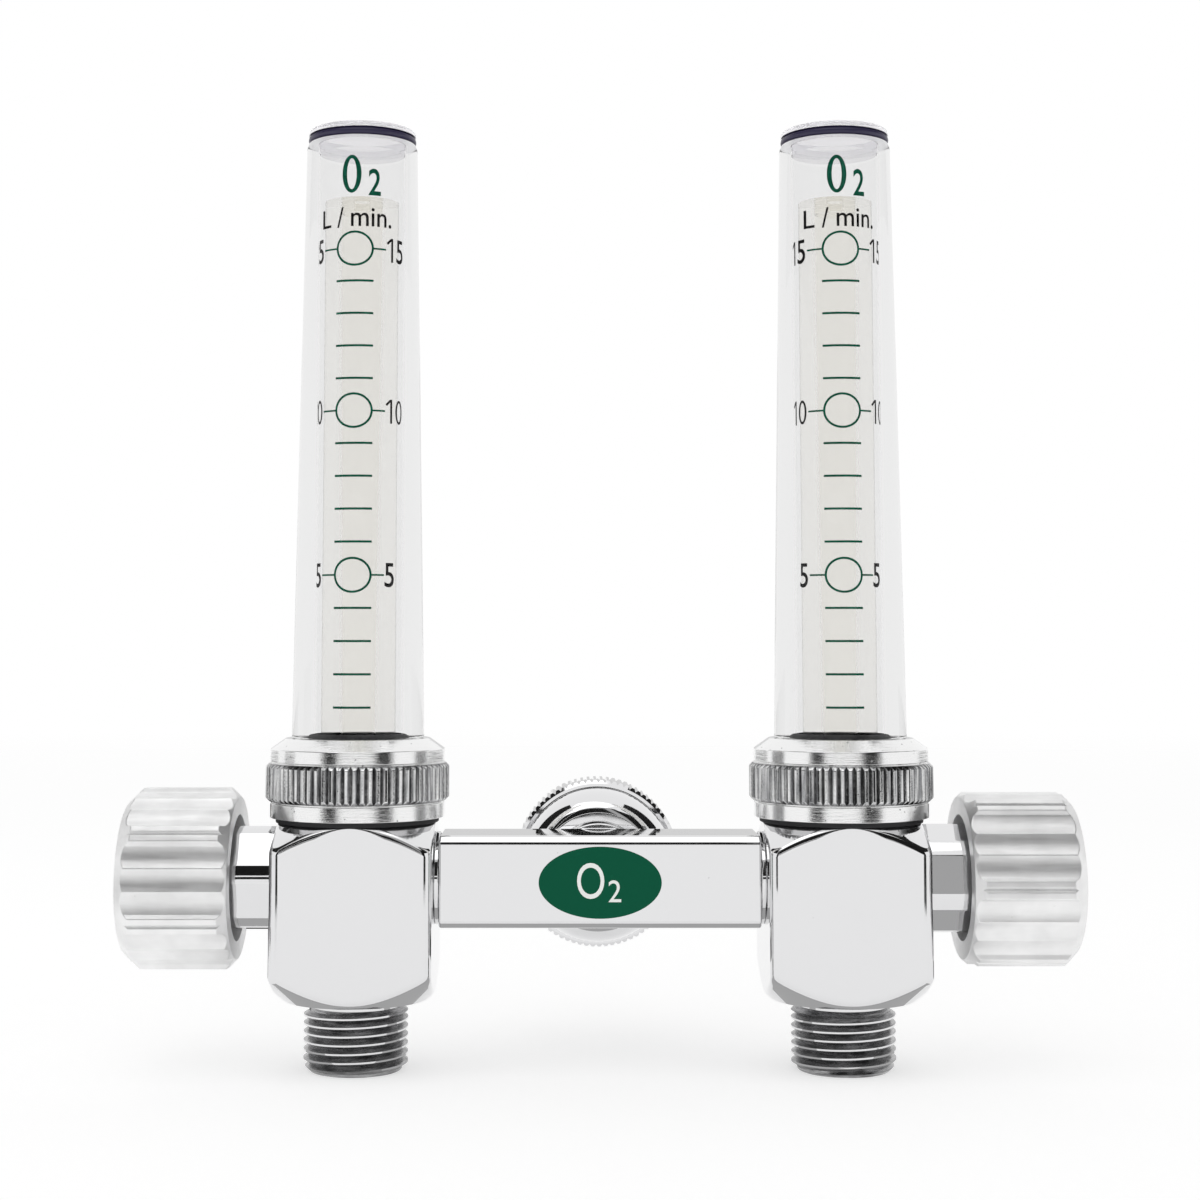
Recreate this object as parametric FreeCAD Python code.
import FreeCAD, Part
import math
import os

# Twin oxygen flowmeter: two square valve blocks joined by a crossbar, each with a clear
# tapered tube above it, a fluted knob on its outer side and a threaded outlet below it.
# One hand nut behind the crossbar fastens the whole meter to its gas supply.
#
# Millimetres. The origin is the centre of the hand nut's mouth, on the inlet axis.
# +X is to the right of someone who reads the scales, +Y points back into the supply
# and +Z is up. The axes of both tubes lie in the plane y = tube_plane_y.

V = FreeCAD.Vector

# Clearances
thread_gap = 0.05           # radial, between two screwed pieces
running_gap = 0.05          # radial, between a turning or sliding piece and its bore
loose_gap = 0.3             # around a piece that hangs free
piston_gap = 0.1            # radial, around the spindle's piston
needle_gap = 0.08           # radial, around the needle in its seat
ball_gap = 0.1              # radial, around the float ball at the foot of its bore
end_gap = 0.2               # at the blind end of a screwed or plugged hole

# Crossbar, square bar with a turned spigot at each end
tube_spacing = 78.0
bar_side = 14.5
bar_chamfer = 1.0
bar_bore_radius = 2.0
bar_spigot_radius = 5.0
bar_spigot_reach = 4.0      # how far a spigot goes into its block
washer_width = 2.35         # outside the spigot
washer_thickness = 0.8
label_width = 19.4
label_height = 11.2
label_thickness = 0.25

# Valve blocks, square bar with both ends turned to a cone
block_side = 25.4
block_rise = 9.0            # top face above the crossbar axis
block_drop = 18.9           # bottom face below the crossbar axis
block_edge_round = 1.7
cone_angle = 38.0           # slope of the turned ends, from level
top_land_inset = 0.1        # the top cone starts this far inside the flats
bottom_land_inset = 0.9

# Threaded outlet, turned on the bottom of each block
outlet_radius = 8.33
outlet_length = 11.3
outlet_bore_radius = 1.9
outlet_mouth_radius = 4.2
outlet_mouth_depth = 2.2
outlet_chamfer = 1.0
relief_depth = 1.13
relief_width = 1.4

# Spigot on top of each block, with the well that takes the foot of the flow tube
spigot_radius = 11.0
spigot_height = 5.0
well_radius = 8.0
well_depth = 4.3
socket_depth = 4.0
feed_hole_radius = 1.2
return_hole_radius = 1.1
return_hole_offset = 6.5

# Side ports of each block
chamber_radius = 4.2
chamber_wall = 4.7          # from the tube axis to the valve seat
orifice_radius = 1.5
bonnet_port_radius = 6.0
bonnet_port_depth = 5.0
outlet_head = 1.6           # top of the outlet bore above the crossbar axis

# Flat ring under the knurled collar
body_seal_width = 2.05      # outside the spigot
body_seal_thickness = 0.8

# Knurled collar that holds the clear tube
collar_rim_radius = 14.0
collar_rim_height = 2.6
collar_rim_chamfer = 0.4
knurl_radius = 14.75
knurl_depth = 0.45
knurl_height = 6.1
knurl_chamfer = 0.6
knurl_teeth = 74
collar_band_height = 2.2
collar_top_radius = 11.6
collar_top_height = 1.7

# Clear tapered tube, its gasket and its cap
shroud_base_radius = 10.65
shroud_top_radius = 9.1
shroud_length = 95.6        # from the gasket to the shoulder under the cap
shroud_wall = 2.2           # at the top
shroud_neck_step = 1.15     # from the foot of the tube in to its threaded neck
shroud_neck_room = 1.0      # from the block's spigot to the neck
shroud_edge_round = 0.5
cap_seat_step = 0.3         # from the top of the tube in to the cap's seat
cap_seat_height = 0.9
gasket_width = 0.8
gasket_thickness = 0.6
cap_ring_thickness = 1.4
cap_flange_thickness = 1.0
cap_edge_round = 0.7
cap_plug_length = 3.0

# Printed scale, a clear sheet rolled inside the tapered tube
sleeve_thickness = 0.2
sleeve_gap = 0.1
sleeve_base_rise = 0.5      # above the foot of the tapered tube
sleeve_head_gap = 0.5       # below the plug of the cap

# Flow tube with its tapered bore, float ball and stop
flow_tube_gap = 0.75        # radial, inside the printed sheet
flow_tube_head_room = 8.0   # open space between the flow tube and the cap's plug
flow_foot_radius = 4.6
flow_inlet_radius = 1.6
flow_seat_rise = 4.5        # bottom of the ball seat above the floor of the well
flow_bore_taper = 0.82      # gain in radius from the seat to the top
foot_ring_section = 1.0
foot_ring_rise = 1.1        # lower side of its groove above the end of the foot
ball_radius = 2.38
ball_seat_gap = 0.03
stop_height = 2.0
stop_bore_radius = 1.2

# Valve bonnet, a hexagon with trimmed corners
bonnet_across_flats = 16.0
bonnet_corner_trim = 0.54
bonnet_hex_length = 9.0
gland_head_room = 0.5       # beyond the piston when the valve is fully open
bonnet_ring_section = 0.9

# Spindle with its needle
needle_tip_radius = 0.5
needle_reach = 1.7          # how far the tip goes into the orifice
needle_stand_off = 0.2      # shoulder behind the needle to the face of the seat
spindle_neck_radius = 2.6
spindle_neck_length = 3.5
piston_radius = 3.9
piston_length = 4.0
piston_groove_width = 1.8
stem_ring_section = 1.28
stem_radius = 3.0
drive_radius = 2.4
drive_flat = 0.6            # depth of the flat on the drive end
drive_pull_gap = 0.5        # from the end of the drive to the screw's head
valve_lift = 1.5            # travel of the spindle from closed to fully open

# Fluted knob and its screw
knob_crest_radius = 14.4
knob_pad_rise = 0.75        # pads above the ridges between the flutes
knob_flute_depth = 0.5      # below those ridges
knob_flank_angle = 2.0      # slope at each side of a pad, in degrees
knob_pads = 6
knob_flutes_between = 3
knob_groove_depth = 0.45
knob_groove_angle = 2.6     # opening of the groove in each pad, in degrees
knob_length = 17.7
knob_start = 6.3            # from the outer face of the block to the knob
knob_outer_chamfer = 2.4
knob_inner_chamfer = 1.5
knob_recess_radius = 10.0
knob_recess_depth = 4.5
knob_screw_pocket_radius = 4.5
knob_screw_pocket_depth = 4.0
screw_head_radius = 3.2
screw_head_height = 2.0
screw_shank_radius = 1.2
screw_shank_length = 6.5
screw_slot_width = 0.8
screw_slot_depth = 1.0

# Angles of the flats and pads above level, as seen from the front
knob_pad_elevation = {"left": 34.5, "right": -1.5}
bonnet_corner_elevation = {"left": 6.0, "right": 39.0}

# Inlet: spacer, nipple, washer, filter and hand nut, measured back from the crossbar
spacer_wall = 2.95
spacer_length = 4.75
nut_front_gap = 1.0         # from the spacer to the nut
nut_length = 21.0
nut_lip_thickness = 4.0
nut_front_radius = 9.2
nut_dome_radius = 13.0
nut_dome_length = 7.6
nut_groove_width = 0.9
nut_groove_depth = 0.5
nut_knurl_radius = 14.15
nut_knurl_teeth = 78
nut_rim_radius = 13.2
nut_rim_length = 1.2
inlet_thread_radius = 7.14
inlet_thread_length = 10.5
nut_relief_depth = 0.76
nipple_radius = 5.0
nipple_port_depth = 5.5
nipple_bore_radius = 2.0
nipple_head_gap = 0.19      # radial, where the head passes through the nut's thread
nipple_head_length = 3.0
nipple_nose_radius = 4.5
nipple_nose_length = 2.5
inlet_washer_width = 2.25   # outside the nose
inlet_washer_thickness = 2.0
filter_radius = 3.0
filter_pocket_depth = 4.0
filter_thickness = 2.0

# Places worked out from the sizes above
block_half = block_side / 2
bar_half = bar_side / 2
washer_radius = bar_spigot_radius + thread_gap + washer_width
spacer_end = bar_half + spacer_length
nut_front = spacer_end + nut_front_gap
tube_plane_y = -(nut_front + nut_length)
relief_radius = outlet_radius - relief_depth
spigot_top = block_rise + spigot_height
well_floor = spigot_top - well_depth
socket_floor = well_floor - socket_depth
body_seal_radius = spigot_radius + thread_gap + body_seal_width
collar_base = block_rise + body_seal_thickness
knurl_base = collar_base + collar_rim_height
knurl_top = knurl_base + knurl_height
band_top = knurl_top + collar_band_height
collar_top = band_top + collar_top_height
shroud_bore_radius = shroud_top_radius - shroud_wall
shroud_neck_radius = shroud_base_radius - shroud_neck_step
gasket_radius = shroud_neck_radius + thread_gap + gasket_width
cap_seat_radius = shroud_top_radius - cap_seat_step
shroud_base = collar_top + gasket_thickness
shroud_shoulder = shroud_base + shroud_length
shroud_top = shroud_shoulder + cap_seat_height
cap_flange_base = shroud_top + cap_ring_thickness
cap_top = cap_flange_base + cap_flange_thickness
plug_end = cap_flange_base - cap_plug_length
sleeve_base = shroud_base + sleeve_base_rise
sleeve_top = plug_end - sleeve_head_gap
sleeve_radius = shroud_bore_radius - sleeve_gap
flow_tube_radius = sleeve_radius - sleeve_thickness - flow_tube_gap
flow_tube_top = plug_end - flow_tube_head_room
flow_seat = well_floor + flow_seat_rise
flow_bore_bottom_radius = ball_radius + ball_gap
flow_bore_top_radius = flow_bore_bottom_radius + flow_bore_taper
foot_end = socket_floor + end_gap
port_floor = block_half - bonnet_port_depth
needle_radius = orifice_radius - needle_gap
piston_low = chamber_wall + needle_stand_off + spindle_neck_length
piston_high = piston_low + piston_length
bonnet_outer = block_half + bonnet_hex_length
knob_inner = block_half + knob_start
knob_outer = knob_inner + knob_length
knob_seat = knob_inner + knob_recess_depth
screw_seat = knob_outer - knob_screw_pocket_depth
drive_end = screw_seat - drive_pull_gap
knob_ridge_radius = knob_crest_radius - knob_pad_rise
knob_valley_radius = knob_ridge_radius - knob_flute_depth
spacer_radius = nipple_radius + thread_gap + spacer_wall
nipple_head_radius = inlet_thread_radius - nipple_head_gap
nipple_head_start = nut_front + nut_lip_thickness + loose_gap


def turned(outline):
    """Solid of revolution about Z, from an outline of (radius, height) points."""
    points = [V(radius, 0, height) for radius, height in outline]
    face = Part.Face(Part.makePolygon(points + points[:1]))
    return face.revolve(V(0, 0, 0), V(0, 0, 1), 360)


def rod(radius, low, high):
    """Round bar about Z between two heights."""
    return Part.makeCylinder(radius, high - low, V(0, 0, low))


def tube(outer, inner, low, high):
    """Round tube about Z between two heights."""
    return rod(outer, low, high).cut(rod(inner, low, high))


def prism(points, low, high):
    """Straight prism between two heights over a closed polygon of (x, y) points."""
    corners = [V(x, y, low) for x, y in points]
    face = Part.Face(Part.makePolygon(corners + corners[:1]))
    return face.extrude(V(0, 0, high - low))


def outward(shape):
    """Turn a piece from the Z axis onto the X axis; its local +X then points up."""
    turn = FreeCAD.Rotation(V(0, 0, 1), V(0, -1, 0), V(1, 0, 0), "ZXY")
    shape.Placement = FreeCAD.Placement(V(0, 0, 0), turn).multiply(shape.Placement)
    return shape


def backward(shape):
    """Turn a piece from the Z axis onto the inlet axis, measured from the tube plane."""
    turn = FreeCAD.Rotation(V(1, 0, 0), -90)
    place = FreeCAD.Placement(V(0, tube_plane_y, 0), turn)
    shape.Placement = place.multiply(shape.Placement)
    return shape


def at_station(shape, side):
    """Put a piece at the left or the right tube; the left one is turned to face out."""
    half_turn = 180 if side == "left" else 0
    reach = -tube_spacing / 2 if side == "left" else tube_spacing / 2
    place = FreeCAD.Placement(V(reach, tube_plane_y, 0), FreeCAD.Rotation(V(0, 0, 1), half_turn))
    shape.Placement = place.multiply(shape.Placement)
    return shape


def front_angle(side, elevation):
    """Angle about an outward axis, from up, of a feature seen from the front."""
    return 90 - elevation if side == "right" else elevation - 90


def ring(mean_radius, section, height):
    """O-ring about Z."""
    return Part.makeTorus(mean_radius, section / 2, V(0, 0, height))


def knurled(radius, depth, teeth, low, high, end_chamfer):
    """Straight V knurl between two heights, with its ends turned to a cone."""
    points = []
    for step in range(2 * teeth):
        angle = math.pi * step / teeth
        reach = radius if step % 2 == 0 else radius - depth
        points.append((reach * math.cos(angle), reach * math.sin(angle)))
    teeth_bar = prism(points, low, high)
    envelope = turned([
        (0, low), (radius - end_chamfer, low), (radius, low + end_chamfer),
        (radius, high - end_chamfer), (radius - end_chamfer, high), (0, high)])
    return teeth_bar.common(envelope)


def valve_body():
    """Square block with its turned ends, its top spigot, its outlet and its drillings."""
    corner = block_half * math.sqrt(2)
    slope = math.tan(math.radians(cone_angle))
    top_land = block_half - top_land_inset
    bottom_land = block_half - bottom_land_inset
    blank = Part.makeBox(block_side, block_side, block_rise + block_drop,
                         V(-block_half, -block_half, -block_drop))
    upright = [edge for edge in blank.Edges if abs(edge.tangentAt(edge.FirstParameter).z) > 0.9]
    blank = blank.makeFillet(block_edge_round, upright)
    envelope = turned([
        (0, -block_drop), (bottom_land, -block_drop),
        (corner, -block_drop + (corner - bottom_land) * slope),
        (corner, block_rise - (corner - top_land) * slope),
        (top_land, block_rise), (0, block_rise)])
    body = blank.common(envelope)
    thread_top = -block_drop - relief_width
    outlet_end = -block_drop - outlet_length
    outlet = turned([
        (0, -block_drop), (relief_radius, -block_drop), (relief_radius, thread_top),
        (outlet_radius, thread_top), (outlet_radius, outlet_end + outlet_chamfer),
        (outlet_radius - outlet_chamfer, outlet_end), (0, outlet_end)])
    body = body.fuse([rod(spigot_radius, block_rise, spigot_top), outlet])
    outlet_way = turned([
        (0, outlet_end), (outlet_mouth_radius, outlet_end),
        (outlet_bore_radius, outlet_end + outlet_mouth_depth),
        (outlet_bore_radius, outlet_head), (0, outlet_head)])
    socket = rod(flow_foot_radius + running_gap, socket_floor, well_floor)
    well = rod(well_radius, well_floor, spigot_top)
    return_hole = rod(return_hole_radius, 0, well_floor)
    return_hole.translate(V(return_hole_offset, 0, 0))
    bar_port_floor = -block_half + bar_spigot_reach + end_gap
    bar_port = outward(rod(bar_spigot_radius + thread_gap, -block_half, bar_port_floor))
    feed_meeting = bar_port_floor + 2 * feed_hole_radius
    bar_way = outward(rod(bar_bore_radius, bar_port_floor, feed_meeting))
    feed_start = V(0, 0, socket_floor)
    feed_run = V(bar_port_floor + feed_hole_radius, 0, 0).sub(feed_start)
    feed = Part.makeCylinder(feed_hole_radius, feed_run.Length, feed_start, feed_run)
    valve_way = outward(turned([
        (0, 0), (orifice_radius, 0), (orifice_radius, chamber_wall),
        (chamber_radius, chamber_wall), (chamber_radius, port_floor),
        (bonnet_port_radius, port_floor), (bonnet_port_radius, block_half), (0, block_half)]))
    return body.cut([outlet_way, socket, well, return_hole, bar_port, bar_way, feed, valve_way])


def body_seal():
    """Flat rubber ring on top of the block, around the spigot."""
    return tube(body_seal_radius, spigot_radius + thread_gap, block_rise, collar_base)


def tube_collar():
    """Knurled collar, screwed onto the spigot, with a thread above for the clear tube."""
    lower = turned([
        (0, collar_base), (collar_rim_radius - collar_rim_chamfer, collar_base),
        (collar_rim_radius, collar_base + collar_rim_chamfer),
        (collar_rim_radius, knurl_base), (0, knurl_base)])
    upper = turned([
        (0, knurl_top), (collar_rim_radius, knurl_top), (collar_rim_radius, band_top),
        (collar_top_radius, collar_top), (0, collar_top)])
    grip = knurled(knurl_radius, knurl_depth, knurl_teeth, knurl_base, knurl_top, knurl_chamfer)
    spigot_thread = rod(spigot_radius + thread_gap, collar_base, spigot_top + end_gap)
    neck_thread = rod(shroud_neck_radius + thread_gap, spigot_top, collar_top)
    return lower.fuse([grip, upper]).cut([spigot_thread, neck_thread])


def shroud_gasket():
    """Rubber gasket between the collar and the foot of the clear tube."""
    return tube(gasket_radius, shroud_neck_radius + thread_gap, collar_top, shroud_base)


def shroud():
    """Clear tapered tube with a threaded neck below and a seat for its cap above."""
    neck_end = spigot_top + shroud_neck_room
    body = turned([
        (shroud_bore_radius, neck_end), (shroud_neck_radius, neck_end),
        (shroud_neck_radius, shroud_base), (shroud_base_radius, shroud_base),
        (shroud_top_radius, shroud_shoulder), (cap_seat_radius, shroud_shoulder),
        (cap_seat_radius, shroud_top), (shroud_bore_radius, shroud_top)])
    foot_edge = [edge for edge in body.Edges
                 if edge.Closed and abs(edge.BoundBox.ZMax - shroud_base) < 1e-4
                 and abs(edge.BoundBox.XMax - shroud_base_radius) < 1e-3]
    return body.makeFillet(shroud_edge_round, foot_edge)


def cap_ring():
    """Dark ring squeezed between the clear tube and its cap."""
    inner = shroud_bore_radius
    return tube(cap_seat_radius, inner, shroud_top, cap_flange_base)


def shroud_cap():
    """Clear plug with a flange, closing the top of the tapered tube."""
    plug_radius = shroud_bore_radius - thread_gap
    body = turned([
        (0, plug_end), (plug_radius, plug_end), (plug_radius, cap_flange_base),
        (cap_seat_radius, cap_flange_base), (cap_seat_radius, cap_top), (0, cap_top)])
    top_edge = [edge for edge in body.Edges
                if edge.Closed and abs(edge.BoundBox.ZMin - cap_top) < 1e-4]
    return body.makeFillet(cap_edge_round, top_edge)


def scale_sleeve():
    """Clear sheet that carries the printed scale, rolled inside the tapered tube."""
    return tube(sleeve_radius, sleeve_radius - sleeve_thickness, sleeve_base, sleeve_top)


def flow_bore_radius(height):
    """Radius of the tapered bore at a height above the ball's seat."""
    share = (height - flow_seat) / (flow_tube_top - flow_seat)
    return flow_bore_bottom_radius + share * (flow_bore_top_radius - flow_bore_bottom_radius)


def flow_tube():
    """Inner tube, narrow at its foot, whose tapered bore lets the ball rise with the flow."""
    seat_height = flow_bore_bottom_radius - flow_inlet_radius
    groove_low = foot_end + foot_ring_rise
    groove_high = groove_low + foot_ring_section + end_gap
    groove_radius = flow_foot_radius - foot_ring_section
    return turned([
        (flow_inlet_radius, foot_end), (flow_foot_radius, foot_end),
        (flow_foot_radius, groove_low), (groove_radius, groove_low),
        (groove_radius, groove_high), (flow_foot_radius, groove_high),
        (flow_foot_radius, well_floor), (flow_tube_radius, well_floor),
        (flow_tube_radius, flow_tube_top), (flow_bore_top_radius, flow_tube_top),
        (flow_bore_radius(flow_seat + seat_height), flow_seat + seat_height),
        (flow_inlet_radius, flow_seat)])


def flow_tube_seal():
    """O-ring in the groove of the flow tube's foot."""
    height = foot_end + foot_ring_rise + (foot_ring_section + end_gap) / 2
    return ring(flow_foot_radius - foot_ring_section / 2 + running_gap / 2,
                foot_ring_section - running_gap / 2, height)


def ball_stop():
    """Clear bush in the top of the flow tube, which stops the ball."""
    low = flow_tube_top - stop_height
    outer = flow_bore_radius(low) - running_gap
    return tube(outer, stop_bore_radius, low, flow_tube_top)


def float_ball():
    """Float ball, resting on the conical seat of the flow tube."""
    contact = ball_radius * math.sqrt(0.5)
    centre = flow_seat + (contact - flow_inlet_radius) + contact + ball_seat_gap
    return Part.makeSphere(ball_radius, V(0, 0, centre))


def bonnet(side):
    """Hexagonal bonnet, screwed into the block's outer face, that guides the spindle."""
    corner = bonnet_across_flats / math.sqrt(3)
    trimmed = corner - bonnet_corner_trim
    turn = front_angle(side, bonnet_corner_elevation[side])
    corners = []
    for step in range(6):
        angle = math.radians(turn + 60 * step)
        corners.append((corner * math.cos(angle), corner * math.sin(angle)))
    hexagon = prism(corners, block_half, bonnet_outer)
    hexagon = hexagon.common(rod(trimmed, block_half, bonnet_outer))
    shank_end = port_floor + end_gap
    shank_radius = bonnet_port_radius - thread_gap
    groove_low = block_half - bonnet_ring_section - end_gap
    shank = turned([
        (0, shank_end), (shank_radius, shank_end), (shank_radius, groove_low),
        (shank_radius - bonnet_ring_section, groove_low),
        (shank_radius - bonnet_ring_section, block_half), (0, block_half)])
    gland_end = piston_high + valve_lift + gland_head_room
    gland = rod(piston_radius + piston_gap, shank_end, gland_end)
    stem_bore = rod(stem_radius + running_gap, shank_end, bonnet_outer)
    return outward(hexagon.fuse(shank).cut([gland, stem_bore]))


def bonnet_seal():
    """O-ring behind the bonnet's hexagon."""
    outer = bonnet_port_radius - thread_gap
    height = block_half - (bonnet_ring_section + end_gap) / 2
    return outward(ring(outer - bonnet_ring_section / 2 + running_gap / 2,
                        bonnet_ring_section - running_gap / 2, height))


def spindle(side):
    """Needle, piston, stem and drive end, turned in one piece."""
    neck_base = chamber_wall + needle_stand_off
    tip = chamber_wall - needle_reach
    groove_low = piston_low + (piston_length - piston_groove_width) / 2
    groove_high = groove_low + piston_groove_width
    groove_radius = piston_radius - stem_ring_section - running_gap / 2
    body = turned([
        (0, tip), (needle_tip_radius, tip), (needle_radius, chamber_wall),
        (needle_radius, neck_base), (spindle_neck_radius, neck_base),
        (spindle_neck_radius, piston_low), (piston_radius, piston_low),
        (piston_radius, groove_low), (groove_radius, groove_low),
        (groove_radius, groove_high), (piston_radius, groove_high),
        (piston_radius, piston_high), (stem_radius, piston_high),
        (stem_radius, knob_seat), (drive_radius, knob_seat),
        (drive_radius, drive_end), (0, drive_end)])
    screw_hole = rod(screw_shank_radius + thread_gap,
                     screw_seat - screw_shank_length - end_gap, drive_end)
    flat = Part.makeBox(2 * drive_radius, 2 * drive_radius, drive_end - knob_seat,
                        V(drive_radius - drive_flat, -drive_radius, knob_seat))
    body = body.cut([screw_hole, flat])
    body.rotate(V(0, 0, 0), V(0, 0, 1), front_angle(side, knob_pad_elevation[side]))
    return outward(body)


def stem_oring():
    """O-ring in the groove of the spindle's piston."""
    section = stem_ring_section
    mean = piston_radius - section / 2 + running_gap / 2
    return outward(ring(mean, section, (piston_low + piston_high) / 2))


def knob_section():
    """Closed outline of the knob: a raised grooved pad, then shallow flutes, six times round."""
    share = 360 / (knob_pads * (knob_flutes_between + 1))
    edges = []

    def point(radius, degrees):
        angle = math.radians(degrees)
        return V(radius * math.cos(angle), radius * math.sin(angle), 0)

    def arc(start, middle, end):
        edges.append(Part.Arc(start, middle, end).toShape())

    for pad in range(knob_pads):
        centre = pad * 360 / knob_pads
        half_groove = knob_groove_angle / 2
        half_pad = share / 2 - knob_flank_angle
        pad_start = point(knob_crest_radius, centre - half_pad)
        pad_end = point(knob_crest_radius, centre + half_pad)
        pad_foot = point(knob_ridge_radius, centre - share / 2)
        far_foot = point(knob_ridge_radius, centre + share / 2)
        groove_start = point(knob_crest_radius, centre - half_groove)
        groove_end = point(knob_crest_radius, centre + half_groove)
        groove_floor = point(knob_crest_radius - knob_groove_depth, centre)
        quarter = (half_pad + half_groove) / 2
        edges.append(Part.LineSegment(pad_foot, pad_start).toShape())
        arc(pad_start, point(knob_crest_radius, centre - quarter), groove_start)
        edges.append(Part.LineSegment(groove_start, groove_floor).toShape())
        edges.append(Part.LineSegment(groove_floor, groove_end).toShape())
        arc(groove_end, point(knob_crest_radius, centre + quarter), pad_end)
        edges.append(Part.LineSegment(pad_end, far_foot).toShape())
        for flute in range(knob_flutes_between):
            low = centre + share / 2 + flute * share
            arc(point(knob_ridge_radius, low),
                point(knob_valley_radius, low + share / 2),
                point(knob_ridge_radius, low + share))
    return Part.Wire(edges)


def knob(side):
    """Fluted knob with coned ends, hollow where it passes over the bonnet."""
    section = Part.Face(knob_section())
    grip = section.extrude(V(0, 0, knob_length))
    grip.translate(V(0, 0, knob_inner))
    crest = knob_crest_radius
    envelope = turned([
        (0, knob_inner), (crest - knob_inner_chamfer, knob_inner),
        (crest, knob_inner + knob_inner_chamfer), (crest, knob_outer - knob_outer_chamfer),
        (crest - knob_outer_chamfer, knob_outer), (0, knob_outer)])
    recess = rod(knob_recess_radius, knob_inner, knob_seat)
    pocket = rod(knob_screw_pocket_radius, screw_seat, knob_outer)
    bore_radius = drive_radius + running_gap
    bore = rod(bore_radius, knob_seat, screw_seat)
    flat_reach = drive_radius - drive_flat + running_gap
    flat = Part.makeBox(2 * bore_radius, 2 * bore_radius, screw_seat - knob_seat,
                        V(flat_reach, -bore_radius, knob_seat))
    body = grip.common(envelope).cut([recess, pocket, bore.cut(flat)])
    body.rotate(V(0, 0, 0), V(0, 0, 1), front_angle(side, knob_pad_elevation[side]))
    return outward(body)


def knob_screw(side):
    """Slotted screw that holds the knob on its spindle."""
    head_top = screw_seat + screw_head_height
    shank_end = screw_seat - screw_shank_length
    body = turned([
        (0, shank_end), (screw_shank_radius, shank_end),
        (screw_shank_radius, screw_seat), (screw_head_radius, screw_seat),
        (screw_head_radius, head_top), (0, head_top)])
    slot = Part.makeBox(2 * screw_head_radius, screw_slot_width, screw_slot_depth,
                        V(-screw_head_radius, -screw_slot_width / 2, head_top - screw_slot_depth))
    body = body.cut(slot)
    body.rotate(V(0, 0, 0), V(0, 0, 1), front_angle(side, knob_pad_elevation[side]))
    return outward(body)


def bar_washer():
    """Round washer between the end of the crossbar and the block."""
    return outward(tube(washer_radius, bar_spigot_radius + thread_gap,
                        -block_half - washer_thickness, -block_half))


def crossbar():
    """Square bar with chamfered edges, a bored spigot at each end and the inlet port."""
    inner_face = tube_spacing / 2 - block_half
    shoulder = inner_face - washer_thickness
    spigot_end = inner_face + bar_spigot_reach
    near = bar_half - bar_chamfer
    square = prism([(-bar_half, -near), (-near, -bar_half), (near, -bar_half), (bar_half, -near),
                    (bar_half, near), (near, bar_half), (-near, bar_half), (-bar_half, near)],
                   -shoulder, shoulder)
    blank = square.fuse(rod(bar_spigot_radius, -spigot_end, spigot_end))
    bar = outward(blank.cut(rod(bar_bore_radius, -spigot_end, spigot_end)))
    bar.translate(V(0, tube_plane_y, 0))
    port = backward(rod(nipple_radius + thread_gap, bar_half - nipple_port_depth, bar_half))
    way = backward(rod(nipple_bore_radius, 0, bar_half))
    return bar.cut([port, way])


def front_label():
    """Plain oval label on the front of the crossbar."""
    outline = Part.Ellipse(V(0, 0, 0), label_width / 2, label_height / 2).toShape()
    plate = Part.Face(Part.Wire(outline)).extrude(V(0, 0, label_thickness))
    plate.translate(V(0, 0, -bar_half - label_thickness))
    return backward(plate)


def inlet_spacer():
    """Turned spacer between the crossbar and the hand nut."""
    return backward(tube(spacer_radius, nipple_radius + thread_gap, bar_half, spacer_end))


def inlet_nipple():
    """Bored nipple, screwed into the crossbar, whose head the hand nut pulls on."""
    start = bar_half - nipple_port_depth + end_gap
    nose = nipple_head_start + nipple_head_length
    end = nose + nipple_nose_length
    body = turned([
        (nipple_bore_radius, start), (nipple_radius, start),
        (nipple_radius, nipple_head_start), (nipple_head_radius, nipple_head_start),
        (nipple_head_radius, nose),
        (nipple_nose_radius, nose), (nipple_nose_radius, end),
        (filter_radius, end), (filter_radius, end - filter_pocket_depth),
        (nipple_bore_radius, end - filter_pocket_depth)])
    return backward(body)


def inlet_washer():
    """Rubber washer around the nipple's nose."""
    low = nipple_head_start + nipple_head_length
    inner = nipple_nose_radius + thread_gap
    return backward(tube(inner + inlet_washer_width, inner, low, low + inlet_washer_thickness))


def inlet_filter():
    """Sintered disc in the mouth of the nipple."""
    end = nipple_head_start + nipple_head_length + nipple_nose_length
    low = end - filter_pocket_depth
    return backward(rod(filter_radius - running_gap, low, low + filter_thickness))


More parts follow.
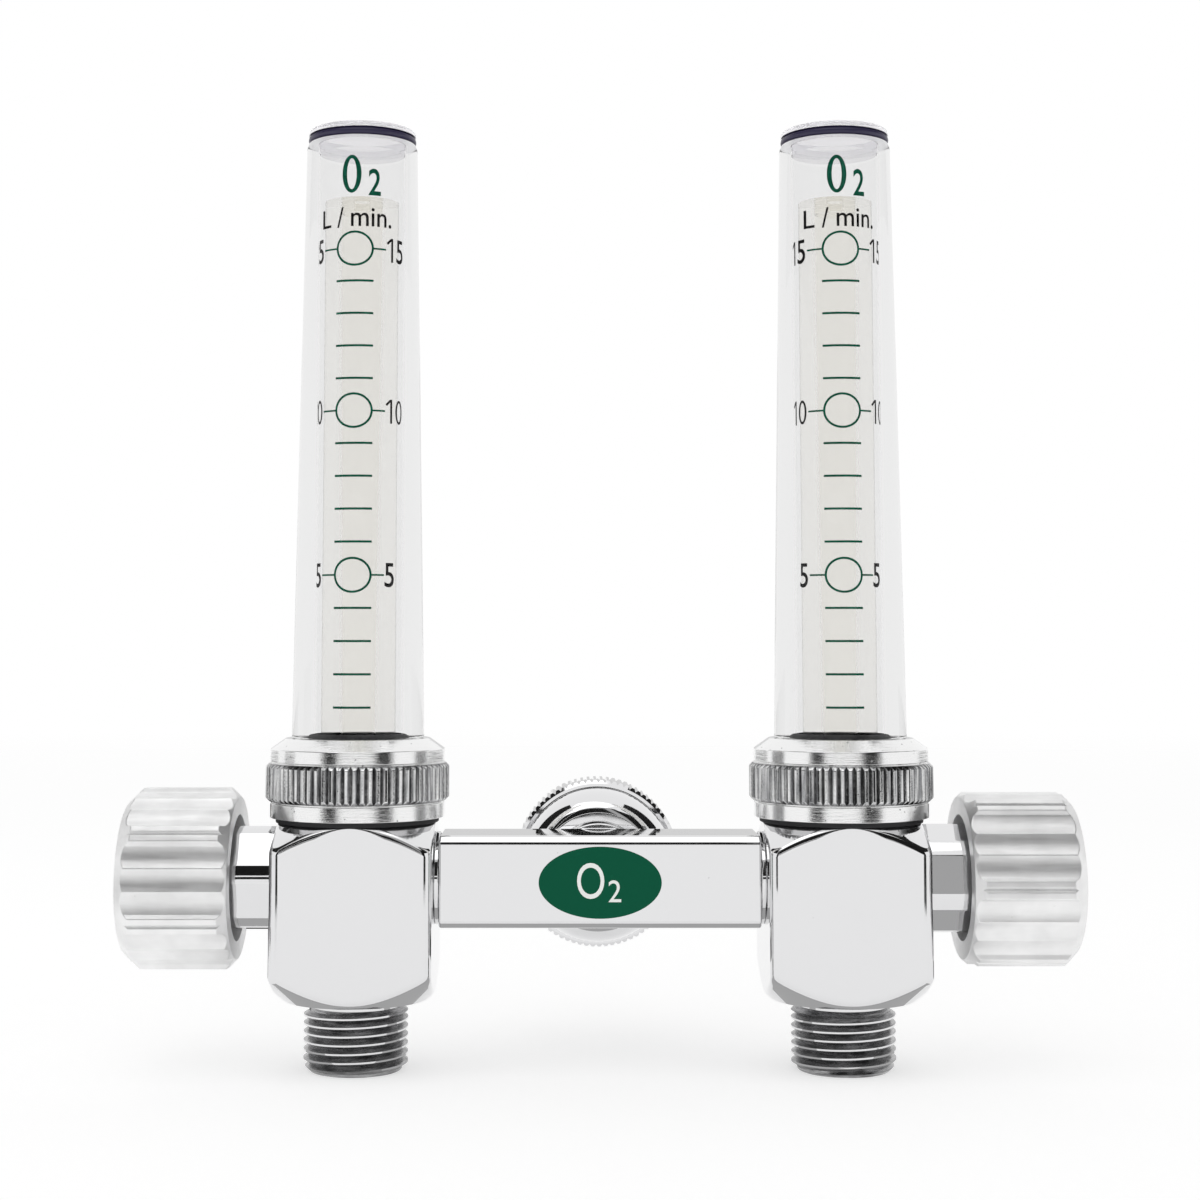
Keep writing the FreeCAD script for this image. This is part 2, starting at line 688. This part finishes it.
def inlet_nut():
    """Hand nut: a polished dome in front, a knurled grip behind and a thread inside."""
    mouth = nut_front + nut_length
    dome_end = nut_front + nut_dome_length
    knurl_start = dome_end + nut_groove_width
    knurl_end = mouth - nut_rim_length
    lip_end = nut_front + nut_lip_thickness
    dome_start = V(nut_front_radius, 0, nut_front)
    dome_stop = V(nut_dome_radius, 0, dome_end)
    swell = V(nut_front_radius + (nut_dome_radius - nut_front_radius) * 0.72, 0,
              nut_front + nut_dome_length * 0.45)
    corners = [dome_stop,
               V(nut_dome_radius - nut_groove_depth, 0, dome_end),
               V(nut_dome_radius - nut_groove_depth, 0, knurl_start),
               V(nut_rim_radius, 0, knurl_start),
               V(nut_rim_radius, 0, mouth), V(0, 0, mouth), V(0, 0, nut_front), dome_start]
    edges = [Part.Arc(dome_start, swell, dome_stop).toShape()]
    for first, second in zip(corners, corners[1:]):
        edges.append(Part.LineSegment(first, second).toShape())
    core = Part.Face(Part.Wire(edges)).revolve(V(0, 0, 0), V(0, 0, 1), 360)
    grip = knurled(nut_knurl_radius, knurl_depth, nut_knurl_teeth,
                   knurl_start, knurl_end, knurl_chamfer)
    thread = rod(inlet_thread_radius, mouth - inlet_thread_length, mouth)
    relief = rod(inlet_thread_radius + nut_relief_depth, lip_end, mouth - inlet_thread_length)
    lip_bore = rod(nipple_radius + loose_gap, nut_front, lip_end)
    return backward(core.fuse(grip).cut([thread, relief, lip_bore]))


os.makedirs("parts", exist_ok=True)


def save(name, shape):
    """Write one piece and say how large it is."""
    solids = shape.Solids
    assert shape.isValid() and len(solids) == 1, name
    solids[0].exportStep("parts/" + name + ".step")
    print(name, round(solids[0].Volume, 1))


save("crossbar", crossbar())
save("front_label", front_label())
save("inlet_spacer", inlet_spacer())
save("inlet_nipple", inlet_nipple())
save("inlet_washer", inlet_washer())
save("inlet_filter", inlet_filter())
save("inlet_nut", inlet_nut())

same_on_both_sides = {
    "valve_body": valve_body,
    "body_seal": body_seal,
    "tube_collar": tube_collar,
    "shroud_gasket": shroud_gasket,
    "shroud": shroud,
    "cap_ring": cap_ring,
    "shroud_cap": shroud_cap,
    "scale_sleeve": scale_sleeve,
    "flow_tube": flow_tube,
    "flow_tube_seal": flow_tube_seal,
    "ball_stop": ball_stop,
    "float_ball": float_ball,
    "bonnet_seal": bonnet_seal,
    "stem_oring": stem_oring,
    "bar_washer": bar_washer,
}
turned_to_a_side = {
    "bonnet": bonnet,
    "spindle": spindle,
    "knob": knob,
    "knob_screw": knob_screw,
}

for side in ("left", "right"):
    for name, make in same_on_both_sides.items():
        save(side + "_" + name, at_station(make(), side))
    for name, make in turned_to_a_side.items():
        save(side + "_" + name, at_station(make(side), side))
